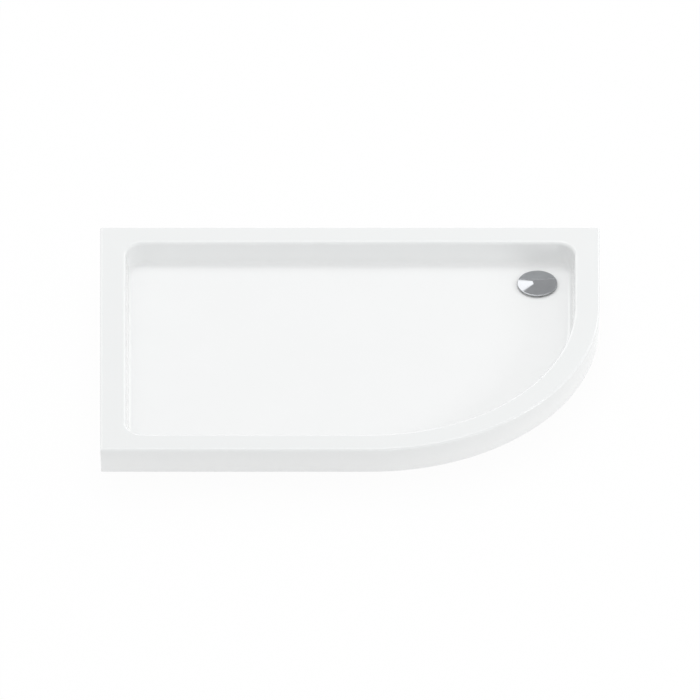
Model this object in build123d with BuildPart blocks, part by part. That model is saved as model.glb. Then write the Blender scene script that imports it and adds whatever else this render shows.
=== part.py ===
from build123d import *

import os
from math import cos, radians, sin, sqrt, tan

# An asymmetric shower tray on eight adjustable feet, with its waste and trap.
# Millimetres, +X to the right, +Y to the back wall, +Z up.
# The origin is on the floor, under the middle of the tray, with the feet screwed right in.

# Tray, seen from above
tray_length = 1200
tray_width = 850
front_curve_radius = 550
outer_corner_radius = 4

# Rim, skirt and basin
rim_to_basin_wall = 60
rim_edge_radius = 6
lip_radius = 8
skirt_depth = 70
skirt_draft = 2
basin_depth = 61
basin_wall_draft = 8
basin_corner_radius = 45
cove_radius = 10
fall_to_the_right = 0.0028
fall_to_the_back = 0.0020

# Layers of the tray, and how far its board clears the outlet
shell_wall = 4
backing_wall = 3
backing_above_skirt_edge = 10
backing_trim_width = 40
least_fillet = 1
board_thickness = 16
board_over_coupling = 2.5
board_edge_inset = 82
board_corner_radius = 30

# Place of the waste, from the corner where the two walls meet
drain_from_right = 150
drain_from_back = 147

# Dish, recess and hole for the waste in the basin floor
dish_radius = 68
dish_depth = 0.8
recess_radius = 45
drain_hole_radius = 31
seat_radius = 50
backing_cutout_radius = 52
board_cutout_radius = 59

# Waste flange and its two gaskets
flange_radius = 44
flange_thickness = 2.5
flange_chamfer = 0.6
flange_tube_radius = 29
flange_bore_radius = 26
flange_tube_depth = 22
ledge_bore_radius = 23.5
ledge_thickness = 2
key_slot_count = 4
key_slot_width = 5
key_slot_depth = 3
upper_gasket_thickness = 1.5
upper_gasket_radius = 43
lower_gasket_thickness = 3
lower_gasket_radius = 45

# Trap
trap_floor_gap = 4
trap_wall = 2.5
trap_radius = 54
trap_edge_radius = 6
trap_ring_radius = 47
trap_ring_height = 9
weir_radius = 36
weir_wall = 2
weir_below_roof = 7.5
thread_clearance = 0.05

# Removable dip insert and its seal ring
insert_rim_height = 8
insert_rim_clearance = 0.3
insert_rim_wall = 2.2
insert_tube_radius = 22
insert_tube_wall = 2
insert_above_well_floor = 5.5
seal_section_radius = 1.2
seal_clearance = 0.05
hub_radius = 10.5
hub_height = 18
hub_bore_radius = 8.1
hub_bore_depth = 14
spoke_count = 3
spoke_width = 3
spoke_height = 4

# Drain cover
cover_radius = 48
cover_floor_gap = 4
cover_edge_height = 2.2
cover_cone_height = 4.6
cover_edge_radius = 1.4
cover_thickness = 1.6
cover_peg_count = 3
cover_peg_radius = 2.5
cover_peg_circle_radius = 38
cover_spigot_radius = 8
cover_spigot_wall = 1.6
cover_spigot_engagement = 10

# Outlet, its ball joint and its coupling nut
outlet_height = 31
outlet_bore_radius = 17
outlet_tube_radius = 24.5
outlet_start = 44
ball_from_trap = 82
ball_radius = 21.4
ball_rear_cut = 14
ball_neck_radius = 15.5
ball_bore_radius = 13
socket_radius = 22
socket_depth = 20
socket_past_ball = 6
ball_seal_length = 8
ball_seal_straight = 4
ball_seal_front_radius = 18.3
ball_seal_clearance = 0.1
coupling_radius = 26
coupling_length = 20
coupling_lip_thickness = 3
coupling_lip_past_ball = 9
coupling_mouth_radius = 19.8
coupling_rib_count = 16
coupling_rib_radius = 1.5
pipe_radius = 20
pipe_wall = 2.4
pipe_shoulder_start = 18
pipe_shoulder_length = 6
pipe_length = 110
pipe_end_chamfer = 1

# Feet: pad, threaded stud, lock nut, socket and its screws
pad_radius = 25
pad_edge_height = 4
pad_height = 13
pad_top_radius = 11
pad_edge_fillet = 1
pad_mouth_radius = 5.2
foot_ball_radius = 6
foot_ball_height = 8
foot_ball_clearance = 0.05
stud_radius = 6
stud_neck_radius = 4.4
stud_tip_chamfer = 1
stud_hole_radius = 7
stud_hole_roof = 2
stud_top_gap = 1
stud_hex_across_flats = 17
stud_hex_height = 6
stud_hex_gap = 1
lock_nut_across_flats = 18
lock_nut_height = 7
hex_corner_chamfer = 1
socket_flange_radius = 30
socket_flange_thickness = 4
foot_socket_radius = 12
foot_socket_length = 15
foot_socket_rib_count = 4
foot_socket_rib_width = 3
foot_socket_rib_reach = 21
foot_socket_rib_drop = 10
screw_circle_radius = 24
screw_count = 4
screw_first_angle = 45
screw_hole_radius = 2.3
screw_radius = 2
screw_pilot_radius = 1.6
screw_in_board = 12
screw_tip_chamfer = 1.4
screw_head_radius = 4
screw_head_height = 2.4
screw_head_fillet = 1

# Where the feet stand
foot_from_board_edge = 45
foot_behind_outlet = 33
foot_beside_trap = 110
foot_beside_pipe = 250
front_right_foot_angle = -58
right_front_foot_angle = -27

# Levels, from the floor up to the rim
board_height = outlet_height + coupling_radius + coupling_rib_radius + board_over_coupling
board_top = board_height + board_thickness
low_corner_drop = fall_to_the_right * max(drain_from_right - board_edge_inset, 0)
low_corner_drop += fall_to_the_back * max(drain_from_back - board_edge_inset, 0)
drain_level = board_top + low_corner_drop + backing_wall + shell_wall
rim_level = drain_level + basin_depth
skirt_bottom = rim_level - skirt_depth
dish_level = drain_level - dish_depth
flange_top = dish_level
flange_bottom = flange_top - flange_thickness
seat_top = flange_bottom - upper_gasket_thickness
seat_bottom = seat_top - shell_wall
flange_tube_bottom = flange_bottom - flange_tube_depth
ledge_top = flange_tube_bottom + ledge_thickness
trap_top = seat_bottom - lower_gasket_thickness
trap_roof = trap_top - trap_ring_height
trap_ceiling = trap_roof - trap_wall
well_floor = trap_floor_gap + trap_wall
foot_socket_bottom = board_height - socket_flange_thickness - foot_socket_length
stud_top = board_top - stud_hole_roof - stud_top_gap

# Centre of the large curve, the waste's own axis, and the level of the sloping floor at the tray's middle
curve_x = tray_length / 2 - front_curve_radius
curve_y = -tray_width / 2 + front_curve_radius
drain_x = tray_length / 2 - drain_from_right
drain_y = tray_width / 2 - drain_from_back
middle_level = drain_level + fall_to_the_right * drain_x + fall_to_the_back * drain_y

# The skirt is widest where it meets the rim's rounded edge, and there it has the tray's stated size
edge_lead = rim_edge_radius * tan(radians(90 - skirt_draft) / 2) * sin(radians(skirt_draft))

# Rows of feet: along the board's edges at the front and sides, and behind the outlet's line
foot_inset = board_edge_inset + foot_from_board_edge
left_row = -tray_length / 2 + foot_inset
right_row = tray_length / 2 - foot_inset
front_row = -tray_width / 2 + foot_inset
back_row = drain_y + foot_behind_outlet


def spot_on_curve(angle):
    """A foot's place along the board's curved edge."""
    reach = front_curve_radius - foot_inset
    return curve_x + reach * cos(radians(angle)), curve_y + reach * sin(radians(angle))


front_right_spot = spot_on_curve(front_right_foot_angle)
back_right_x = drain_x - foot_beside_pipe
foot_spots = {
    "front_left": (left_row, front_row),
    "front_middle": ((left_row + front_right_spot[0]) / 2, front_row),
    "front_right": front_right_spot,
    "right_front": spot_on_curve(right_front_foot_angle),
    "right_back": (right_row, drain_y - foot_beside_trap),
    "back_right": (back_right_x, back_row),
    "back_middle": ((left_row + back_right_x) / 2, back_row),
    "back_left": (left_row, back_row),
}

os.makedirs("parts", exist_ok=True)


def level_plane(x, y, level):
    """A level plane with its origin over a spot."""
    return Plane(origin=(x, y, level))


def upright_plane(x, y, turn=0):
    """A vertical plane through a spot: its x runs outwards at an angle, its y is height."""
    angle = radians(turn)
    return Plane(origin=(x, y, 0), x_dir=(cos(angle), sin(angle), 0), z_dir=(sin(angle), -cos(angle), 0))


def spindle(x, y):
    """The vertical axis through a spot."""
    return Axis((x, y, 0), (0, 0, 1))


def save(part, name):
    """Names a finished piece and writes it."""
    part.label = name
    export_step(part, f"parts/{name}.step")


def tray_outline(inset, corner_radius):
    """The tray seen from above, inset all round: three square corners and one large curve."""
    left = -tray_length / 2 + inset
    right = tray_length / 2 - inset
    front = -tray_width / 2 + inset
    back = tray_width / 2 - inset
    with BuildSketch(mode=Mode.PRIVATE) as outline:
        with BuildLine():
            Line((left, front), (curve_x, front))
            CenterArc((curve_x, curve_y), front_curve_radius - inset, -90, 90)
            Polyline((right, curve_y), (right, back), (left, back), (left, front))
        make_face()
        if corner_radius > 0:
            at_the_left = outline.vertices().group_by(Axis.X)[0]
            back_right = outline.vertices().group_by(Axis.Y)[-1].sort_by(Axis.X)[-1:]
            fillet(at_the_left + back_right, corner_radius)
    return outline.sketch


def basin_space(growth):
    """The hollow of the basin, grown outwards and downwards: it stands square on the sloping floor."""
    deep = basin_depth + growth
    past_rim = fall_to_the_right * tray_length + fall_to_the_back * tray_width
    lean = tan(radians(basin_wall_draft))
    floor = Plane(
        origin=(0, 0, middle_level - growth),
        x_dir=(1, 0, -fall_to_the_right),
        z_dir=(fall_to_the_right, fall_to_the_back, 1),
    )
    with BuildPart() as space:
        for height in (0, deep + past_rim):
            wider = growth + (height - deep) * lean
            with BuildSketch(floor.offset(height)):
                add(tray_outline(rim_to_basin_wall - wider, basin_corner_radius + wider))
        loft(ruled=True)
        fillet(space.faces().sort_by(Axis.Z)[0].edges(), cove_radius + growth)
    return space.part


def tray_block(inset, spare=0):
    """The tray as a full block down to the skirt's edge, with its top and sides set in."""
    with BuildPart() as block:
        with BuildSketch(Plane.XY.offset(rim_level - inset)):
            add(tray_outline(inset - edge_lead, outer_corner_radius - inset))
        extrude(amount=-(skirt_depth - inset + spare), taper=skirt_draft)
        add(basin_space(inset), mode=Mode.SUBTRACT)
        rim = block.faces().sort_by(Axis.Z)[-1]
        fillet(rim.outer_wire().edges(), max(rim_edge_radius - inset, least_fillet))
        rim = block.faces().sort_by(Axis.Z)[-1]
        fillet(rim.inner_wires().edges(), max(lip_radius - inset, least_fillet))
    return block.part


# Acrylic shell: rim, basin and skirt in one formed sheet, thickened into a seat round the waste hole
with BuildPart() as acrylic_shell:
    add(tray_block(0))
    add(tray_block(shell_wall, spare=skirt_depth), mode=Mode.SUBTRACT)
    with BuildSketch(level_plane(drain_x, drain_y, seat_bottom)):
        Circle(seat_radius)
    extrude(amount=drain_level - shell_wall / 2 - seat_bottom)
    with BuildSketch(upright_plane(drain_x, drain_y)):
        with BuildLine():
            Polyline(
                (0, seat_top),
                (recess_radius, seat_top),
                (recess_radius, dish_level),
                (dish_radius, drain_level),
                (dish_radius, rim_level),
                (0, rim_level),
                close=True,
            )
        make_face()
    revolve(axis=spindle(drain_x, drain_y), mode=Mode.SUBTRACT)
    with BuildSketch(level_plane(drain_x, drain_y, rim_level)):
        Circle(drain_hole_radius)
    extrude(amount=-rim_level, mode=Mode.SUBTRACT)

save(acrylic_shell.part, "acrylic_shell")

# Glass fibre backing: one coat under the shell, filled up flat where the board is bonded on
with BuildPart() as space_under_coat:
    add(tray_block(shell_wall + backing_wall, spare=skirt_depth))
    with BuildSketch(Plane.XY.offset(board_top)):
        add(tray_outline(board_edge_inset, board_corner_radius))
    extrude(amount=basin_depth, mode=Mode.SUBTRACT)

with BuildPart() as fibreglass_backing:
    add(tray_block(shell_wall, spare=skirt_depth))
    add(space_under_coat.part, mode=Mode.SUBTRACT)
    with BuildSketch(Plane.XY.offset(skirt_bottom + backing_above_skirt_edge)):
        add(tray_outline(0, 0))
        add(tray_outline(backing_trim_width, 0), mode=Mode.SUBTRACT)
    extrude(amount=-rim_level, mode=Mode.SUBTRACT)
    with BuildSketch(level_plane(drain_x, drain_y, rim_level)):
        Circle(backing_cutout_radius)
    extrude(amount=-rim_level, mode=Mode.SUBTRACT)

save(fibreglass_backing.part, "fibreglass_backing")

# Chipboard base, cut out round the trap, with a blind hole over each stud and pilots for the screws
with BuildPart() as base_board:
    with BuildSketch(Plane.XY.offset(board_height)):
        add(tray_outline(board_edge_inset, board_corner_radius))
        with Locations((drain_x, drain_y)):
            Circle(board_cutout_radius, mode=Mode.SUBTRACT)
    extrude(amount=board_thickness)
    with BuildSketch(Plane.XY.offset(board_height)):
        with Locations(*foot_spots.values()):
            Circle(stud_hole_radius)
    extrude(amount=board_thickness - stud_hole_roof, mode=Mode.SUBTRACT)
    with BuildSketch(Plane.XY.offset(board_height)):
        with Locations(*foot_spots.values()):
            with PolarLocations(screw_circle_radius, screw_count, start_angle=screw_first_angle):
                Circle(screw_pilot_radius)
    extrude(amount=screw_in_board, mode=Mode.SUBTRACT)

save(base_board.part, "base_board")

# Waste flange: a ring flush with the dish, and a threaded tube down through the tray into the trap
with BuildPart() as waste_flange:
    with BuildSketch(upright_plane(drain_x, drain_y)):
        with BuildLine():
            Polyline(
                (flange_bore_radius, flange_top),
                (flange_radius - flange_chamfer, flange_top),
                (flange_radius, flange_top - flange_chamfer),
                (flange_radius, flange_bottom),
                (flange_tube_radius, flange_bottom),
                (flange_tube_radius, flange_tube_bottom),
                (ledge_bore_radius, flange_tube_bottom),
                (ledge_bore_radius, ledge_top),
                (flange_bore_radius, ledge_top),
                close=True,
            )
        make_face()
    revolve(axis=spindle(drain_x, drain_y))
    with BuildSketch(level_plane(drain_x, drain_y, flange_bottom)):
        with PolarLocations(flange_bore_radius, key_slot_count):
            Rectangle(2 * key_slot_depth, key_slot_width)
    extrude(amount=flange_thickness, mode=Mode.SUBTRACT)

save(waste_flange.part, "waste_flange")


def flat_ring(bottom, thickness, outer_radius, bore_radius):
    """A flat ring round the waste's axis."""
    with BuildPart() as ring:
        with BuildSketch(level_plane(drain_x, drain_y, bottom)):
            Circle(outer_radius)
            Circle(bore_radius, mode=Mode.SUBTRACT)
        extrude(amount=thickness)
    return ring.part


save(flat_ring(seat_top, upper_gasket_thickness, upper_gasket_radius, drain_hole_radius), "upper_gasket")
save(flat_ring(trap_top, lower_gasket_thickness, lower_gasket_radius, drain_hole_radius), "lower_gasket")

# Outlet line: level, from the trap's axis to the left
outlet_line = Axis((drain_x, drain_y, outlet_height), (-1, 0, 0))
outlet_section = Plane(origin=(drain_x, drain_y, outlet_height), x_dir=(-1, 0, 0), z_dir=(0, -1, 0))
socket_start = ball_from_trap - socket_depth
outlet_end = ball_from_trap + socket_past_ball


def outlet_disc(distance):
    """The plane square to the outlet line, at a distance from the trap's axis."""
    return Plane(origin=(drain_x - distance, drain_y, outlet_height), x_dir=(0, -1, 0), z_dir=(-1, 0, 0))


# Trap: a bowl with a ring that takes the flange's thread, and a weir inside that keeps the water seal
with BuildPart() as trap_body:
    with BuildSketch(upright_plane(drain_x, drain_y)):
        with BuildLine():
            Polyline(
                (0, trap_floor_gap),
                (trap_radius, trap_floor_gap),
                (trap_radius, trap_roof),
                (trap_ring_radius, trap_roof),
                (trap_ring_radius, trap_top),
                (0, trap_top),
                close=True,
            )
        make_face()
    revolve(axis=spindle(drain_x, drain_y))
    fillet(trap_body.edges().group_by(Axis.Z)[0], trap_edge_radius)
    with BuildSketch(outlet_disc(outlet_start)):
        Circle(outlet_tube_radius)
    extrude(amount=outlet_end - outlet_start)
    with BuildSketch(upright_plane(drain_x, drain_y)):
        with BuildLine():
            Polyline(
                (0, well_floor),
                (weir_radius - weir_wall, well_floor),
                (weir_radius - weir_wall, trap_ceiling - weir_below_roof),
                (weir_radius, trap_ceiling - weir_below_roof),
                (weir_radius, well_floor),
                (trap_radius - trap_wall, well_floor),
                (trap_radius - trap_wall, trap_ceiling),
                (flange_tube_radius + thread_clearance, trap_ceiling),
                (flange_tube_radius + thread_clearance, trap_top),
                (0, trap_top),
                close=True,
            )
        make_face()
    revolve(axis=spindle(drain_x, drain_y), mode=Mode.SUBTRACT)
    with BuildSketch(outlet_disc(outlet_start)):
        Circle(outlet_bore_radius)
    extrude(amount=outlet_end - outlet_start, mode=Mode.SUBTRACT)
    with BuildSketch(outlet_disc(socket_start)):
        Circle(socket_radius)
    extrude(amount=outlet_end - socket_start, mode=Mode.SUBTRACT)

save(trap_body.part, "trap_body")

# Removable dip insert: a rim that hangs on the flange's ledge, a dip tube and a hub on spokes
insert_rim_radius = flange_bore_radius - insert_rim_clearance
insert_rim_top = ledge_top + insert_rim_height
insert_bottom = well_floor + insert_above_well_floor
insert_bore_radius = insert_tube_radius - insert_tube_wall
seal_level = ledge_top + insert_rim_height / 2
seal_radius = flange_bore_radius - seal_clearance - seal_section_radius
hub_bottom = ledge_top - insert_tube_wall
hub_top = hub_bottom + hub_height

with BuildPart() as dip_insert:
    with BuildSketch(upright_plane(drain_x, drain_y)):
        with BuildLine():
            Polyline(
                (insert_bore_radius, insert_bottom),
                (insert_tube_radius, insert_bottom),
                (insert_tube_radius, ledge_top),
                (insert_rim_radius, ledge_top),
                (insert_rim_radius, insert_rim_top),
                (insert_rim_radius - insert_rim_wall, insert_rim_top),
                (insert_bore_radius, insert_rim_top - insert_rim_height / 2),
                close=True,
            )
        make_face()
    revolve(axis=spindle(drain_x, drain_y))
    with BuildSketch(level_plane(drain_x, drain_y, ledge_top)):
        with PolarLocations(insert_tube_radius / 2, spoke_count):
            Rectangle(insert_tube_radius, spoke_width)
    extrude(amount=spoke_height)
    with BuildSketch(level_plane(drain_x, drain_y, hub_bottom)):
        Circle(hub_radius)
    extrude(amount=hub_height)
    with BuildSketch(level_plane(drain_x, drain_y, hub_top)):
        Circle(hub_bore_radius)
    extrude(amount=-hub_bore_depth, mode=Mode.SUBTRACT)
    with BuildSketch(upright_plane(drain_x, drain_y)):
        with Locations((seal_radius, seal_level)):
            Circle(seal_section_radius)
    revolve(axis=spindle(drain_x, drain_y), mode=Mode.SUBTRACT)

save(dip_insert.part, "dip_insert")

# Seal ring in the insert's groove
with BuildPart() as insert_seal:
    with BuildSketch(upright_plane(drain_x, drain_y)):
        with Locations((seal_radius, seal_level)):
            Circle(seal_section_radius)
    revolve(axis=spindle(drain_x, drain_y))

save(insert_seal.part, "insert_seal")

# Drain cover: a shallow cone on three pegs, with a spigot that pushes into the insert's hub
cover_bottom = drain_level + cover_floor_gap
cover_shoulder = cover_bottom + cover_edge_height
cover_apex = cover_shoulder + cover_cone_height
spigot_bottom = hub_top - cover_spigot_engagement

with BuildPart() as drain_cover:
    with BuildSketch(upright_plane(drain_x, drain_y)) as cover_section:
        with BuildLine():
            Polyline(
                (0, cover_apex),
                (cover_radius, cover_shoulder),
                (cover_radius, cover_bottom),
                (cover_radius - cover_thickness, cover_bottom),
                (cover_radius - cover_thickness, cover_shoulder - cover_thickness),
                (0, cover_apex - cover_thickness),
                close=True,
            )
        make_face()
        outer_corner = cover_section.vertices().group_by(Axis.X)[-1].sort_by(Axis.Z)[-1:]
        fillet(outer_corner, cover_edge_radius)
    revolve(axis=spindle(drain_x, drain_y))
    with BuildSketch(level_plane(drain_x, drain_y, flange_top)):
        with PolarLocations(cover_peg_circle_radius, cover_peg_count):
            Circle(cover_peg_radius)
    extrude(amount=cover_shoulder - flange_top)
    with BuildSketch(level_plane(drain_x, drain_y, spigot_bottom)):
        Circle(cover_spigot_radius)
        Circle(cover_spigot_radius - cover_spigot_wall, mode=Mode.SUBTRACT)
    extrude(amount=cover_apex - cover_thickness - spigot_bottom)

save(drain_cover.part, "drain_cover")

# Seal behind the ball of the outlet pipe
with BuildPart() as ball_seal:
    with BuildSketch(outlet_section):
        with BuildLine():
            Polyline(
                (socket_start, outlet_bore_radius),
                (socket_start + ball_seal_straight, outlet_bore_radius),
                (socket_start + ball_seal_length, ball_seal_front_radius),
                (socket_start + ball_seal_length, socket_radius - ball_seal_clearance),
                (socket_start, socket_radius - ball_seal_clearance),
                close=True,
            )
        make_face()
    revolve(axis=outlet_line)

save(ball_seal.part, "ball_seal")

# Coupling nut that holds the ball in the trap's socket
coupling_end = ball_from_trap + coupling_lip_past_ball + coupling_lip_thickness
coupling_start = coupling_end - coupling_length

with BuildPart() as coupling_nut:
    with BuildSketch(outlet_disc(coupling_start)):
        Circle(coupling_radius)
        with PolarLocations(coupling_radius, coupling_rib_count):
            Circle(coupling_rib_radius)
        Circle(coupling_mouth_radius, mode=Mode.SUBTRACT)
    extrude(amount=coupling_length)
    with BuildSketch(outlet_disc(coupling_start)):
        Circle(outlet_tube_radius + thread_clearance)
    extrude(amount=coupling_length - coupling_lip_thickness, mode=Mode.SUBTRACT)

save(coupling_nut.part, "coupling_nut")

# Outlet pipe: a hollow ball, a neck and a plain spigot
pipe_end = ball_from_trap + pipe_length
shoulder_start = ball_from_trap + pipe_shoulder_start
shoulder_end = shoulder_start + pipe_shoulder_length
ball_rear = ball_from_trap - ball_rear_cut
ball_rear_radius = sqrt(ball_radius**2 - ball_rear_cut**2)
neck_start = ball_from_trap + sqrt(ball_radius**2 - ball_neck_radius**2)

with BuildPart() as outlet_pipe:
    with BuildSketch(outlet_section):
        with BuildLine():
            Line((ball_rear, ball_bore_radius), (ball_rear, ball_rear_radius))
            ThreePointArc(
                (ball_rear, ball_rear_radius),
                (ball_from_trap, ball_radius),
                (neck_start, ball_neck_radius),
            )
            Polyline(
                (neck_start, ball_neck_radius),
                (shoulder_start, ball_neck_radius),
                (shoulder_end, pipe_radius),
                (pipe_end - pipe_end_chamfer, pipe_radius),
                (pipe_end, pipe_radius - pipe_end_chamfer),
                (pipe_end, pipe_radius - pipe_wall),
                (shoulder_end, pipe_radius - pipe_wall),
                (shoulder_start, ball_bore_radius),
                (ball_rear, ball_bore_radius),
            )
        make_face()
    revolve(axis=outlet_line)

save(outlet_pipe.part, "outlet_pipe")


def hexagon(x, y, bottom, height, across_flats):
    """A hexagonal prism with its corners turned down at both ends."""
    flat_radius = across_flats / 2
    corner_radius = flat_radius / cos(radians(30))
    with BuildPart() as prism:
        with BuildSketch(level_plane(x, y, bottom)):
            RegularPolygon(flat_radius, 6, major_radius=False)
        extrude(amount=height)
        with BuildSketch(upright_plane(x, y)):
            with BuildLine():
                Polyline(
                    (0, bottom),
                    (flat_radius, bottom),
                    (corner_radius, bottom + hex_corner_chamfer),
                    (corner_radius, bottom + height - hex_corner_chamfer),
                    (flat_radius, bottom + height),
                    (0, bottom + height),
                    close=True,
                )
            make_face()
        revolve(axis=spindle(x, y), mode=Mode.INTERSECT)
    return prism.part


def foot_pad(x, y):
    """A plastic pad with a socket for the stud's ball."""
    with BuildPart() as pad:
        with BuildSketch(upright_plane(x, y)):
            with BuildLine():
                Polyline(
                    (0, 0),
                    (pad_radius, 0),
                    (pad_radius, pad_edge_height),
                    (pad_top_radius, pad_height),
                    (0, pad_height),
                    close=True,
                )
            make_face()
        revolve(axis=spindle(x, y))
        fillet(pad.edges().filter_by(GeomType.CIRCLE).group_by(Axis.Z)[1], pad_edge_fillet)
        fillet(pad.edges().filter_by(GeomType.CIRCLE).group_by(Axis.Z)[-1], pad_edge_fillet)
        with Locations((x, y, foot_ball_height)):
            Sphere(foot_ball_radius + foot_ball_clearance, mode=Mode.SUBTRACT)
        with BuildSketch(level_plane(x, y, foot_ball_height)):
            Circle(pad_mouth_radius)
        extrude(amount=pad_height, mode=Mode.SUBTRACT)
    return pad.part


def foot_stud(x, y):
    """A threaded stud with a ball below, a hexagon for the spanner and a chamfered tip."""
    hex_bottom = pad_height + stud_hex_gap
    with BuildPart() as stud:
        with BuildSketch(level_plane(x, y, foot_ball_height)):
            Circle(stud_neck_radius)
        extrude(amount=hex_bottom - foot_ball_height)
        with BuildSketch(level_plane(x, y, hex_bottom)):
            Circle(stud_radius)
        extrude(amount=stud_top - hex_bottom)
        chamfer(stud.edges().group_by(Axis.Z)[-1], stud_tip_chamfer)
        with Locations((x, y, foot_ball_height)):
            Sphere(foot_ball_radius)
        add(hexagon(x, y, hex_bottom, stud_hex_height, stud_hex_across_flats))
    return stud.part


def lock_nut(x, y):
    """A hexagonal nut on the stud, tight against the socket above it."""
    bottom = foot_socket_bottom - lock_nut_height
    with BuildPart() as nut:
        add(hexagon(x, y, bottom, lock_nut_height, lock_nut_across_flats))
        with BuildSketch(level_plane(x, y, bottom)):
            Circle(stud_radius + thread_clearance)
        extrude(amount=lock_nut_height, mode=Mode.SUBTRACT)
    return nut.part


def foot_socket(x, y):
    """A ribbed socket under the board: a flange with four screw holes and a threaded boss."""
    flange_bottom_level = board_height - socket_flange_thickness
    with BuildPart() as socket:
        with BuildSketch(level_plane(x, y, flange_bottom_level)):
            Circle(socket_flange_radius)
            with PolarLocations(screw_circle_radius, screw_count, start_angle=screw_first_angle):
                Circle(screw_hole_radius, mode=Mode.SUBTRACT)
        extrude(amount=socket_flange_thickness)
        with BuildSketch(level_plane(x, y, foot_socket_bottom)):
            Circle(foot_socket_radius)
        extrude(amount=foot_socket_length)
        for rib in range(foot_socket_rib_count):
            with BuildSketch(upright_plane(x, y, turn=rib * 360 / foot_socket_rib_count)):
                with BuildLine():
                    Polyline(
                        (0, flange_bottom_level),
                        (foot_socket_rib_reach, flange_bottom_level),
                        (foot_socket_radius, flange_bottom_level - foot_socket_rib_drop),
                        (0, flange_bottom_level - foot_socket_rib_drop),
                        close=True,
                    )
                make_face()
            extrude(amount=foot_socket_rib_width / 2, both=True)
        with BuildSketch(level_plane(x, y, foot_socket_bottom)):
            Circle(stud_radius + thread_clearance)
        extrude(amount=board_height - foot_socket_bottom, mode=Mode.SUBTRACT)
    return socket.part


for spot, (foot_x, foot_y) in foot_spots.items():
    save(foot_pad(foot_x, foot_y), f"foot_pad_{spot}")
    save(foot_stud(foot_x, foot_y), f"foot_stud_{spot}")
    save(lock_nut(foot_x, foot_y), f"lock_nut_{spot}")
    save(foot_socket(foot_x, foot_y), f"foot_socket_{spot}")

# Pan head screws that hold the sockets to the board
screw_seat = board_height - socket_flange_thickness
screw_top = board_height + screw_in_board

with BuildPart() as socket_screws:
    with BuildSketch(Plane.XY.offset(screw_seat)):
        with Locations(*foot_spots.values()):
            with PolarLocations(screw_circle_radius, screw_count, start_angle=screw_first_angle):
                Circle(screw_head_radius)
    extrude(amount=-screw_head_height)
    fillet(socket_screws.edges().group_by(Axis.Z)[0], screw_head_fillet)
    with BuildSketch(Plane.XY.offset(screw_seat)):
        with Locations(*foot_spots.values()):
            with PolarLocations(screw_circle_radius, screw_count, start_angle=screw_first_angle):
                Circle(screw_radius)
    extrude(amount=screw_top - screw_seat)
    chamfer(socket_screws.edges().group_by(Axis.Z)[-1], screw_tip_chamfer)

save(socket_screws.part, "socket_screws")
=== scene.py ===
import math

import bmesh
import bpy
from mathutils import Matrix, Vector


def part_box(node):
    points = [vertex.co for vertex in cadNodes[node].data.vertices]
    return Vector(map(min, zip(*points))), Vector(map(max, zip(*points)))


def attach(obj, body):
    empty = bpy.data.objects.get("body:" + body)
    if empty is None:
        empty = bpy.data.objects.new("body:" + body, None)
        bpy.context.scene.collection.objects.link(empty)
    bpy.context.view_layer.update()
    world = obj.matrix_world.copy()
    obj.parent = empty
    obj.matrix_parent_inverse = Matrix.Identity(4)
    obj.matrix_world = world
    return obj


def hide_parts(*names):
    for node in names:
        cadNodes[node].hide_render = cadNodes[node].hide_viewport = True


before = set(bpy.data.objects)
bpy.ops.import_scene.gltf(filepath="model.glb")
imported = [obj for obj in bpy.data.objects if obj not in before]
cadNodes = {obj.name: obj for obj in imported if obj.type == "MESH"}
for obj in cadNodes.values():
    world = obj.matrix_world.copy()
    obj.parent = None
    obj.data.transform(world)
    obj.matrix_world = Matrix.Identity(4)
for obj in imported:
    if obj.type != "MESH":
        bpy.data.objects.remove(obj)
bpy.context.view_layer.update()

# An asymmetric shower tray on adjustable feet, dressed over its solids.
# Sizes in the dictionaries are millimetres and angles are degrees. The scene is in metres.
mm = 0.001
weldGap = 0.002    # points of a mesh that lie closer than this become one
noiseSpan = {"From Min": 0.3, "From Max": 0.7}    # nearly all values of a noise lie between these
print("stage: solids loaded,", len(cadNodes), "nodes")


def hexColour(code):
    channels = [int(code[i:i + 2], 16) / 255 for i in (1, 3, 5)]
    return (*[c / 12.92 if c <= 0.04045 else ((c + 0.055) / 1.055) ** 2.4 for c in channels], 1)


def perMetre(size):
    return 1000 / size    # texture scale of a pattern this many millimetres across


def addNode(tree, kind, settings=None, inputs=None):
    node = tree.nodes.new(kind)
    for name, value in (settings or {}).items():
        setattr(node, name, value)
    for name, value in (inputs or {}).items():    # sockets by name, or by number where names repeat
        if isinstance(value, bpy.types.NodeSocket):
            tree.links.new(value, node.inputs[name])
        else:
            node.inputs[name].default_value = value
    return node


def startMaterial(name):
    material = bpy.data.materials.new(name)
    material.use_nodes = True
    tree = material.node_tree
    tree.nodes.clear()
    place = addNode(tree, "ShaderNodeTexCoord").outputs["Object"]
    return material, tree, place


def finishMaterial(tree, inputs):
    shader = addNode(tree, "ShaderNodeBsdfPrincipled", inputs=inputs)
    addNode(tree, "ShaderNodeOutputMaterial", inputs={"Surface": shader.outputs["BSDF"]})


def setRamp(node, stops):
    points = node.color_ramp.elements
    while len(points) < len(stops):
        points.new(0.5)
    for point, (position, code) in zip(points, stops):
        point.position = position
        point.color = hexColour(code)
    return node.outputs["Color"]


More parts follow.
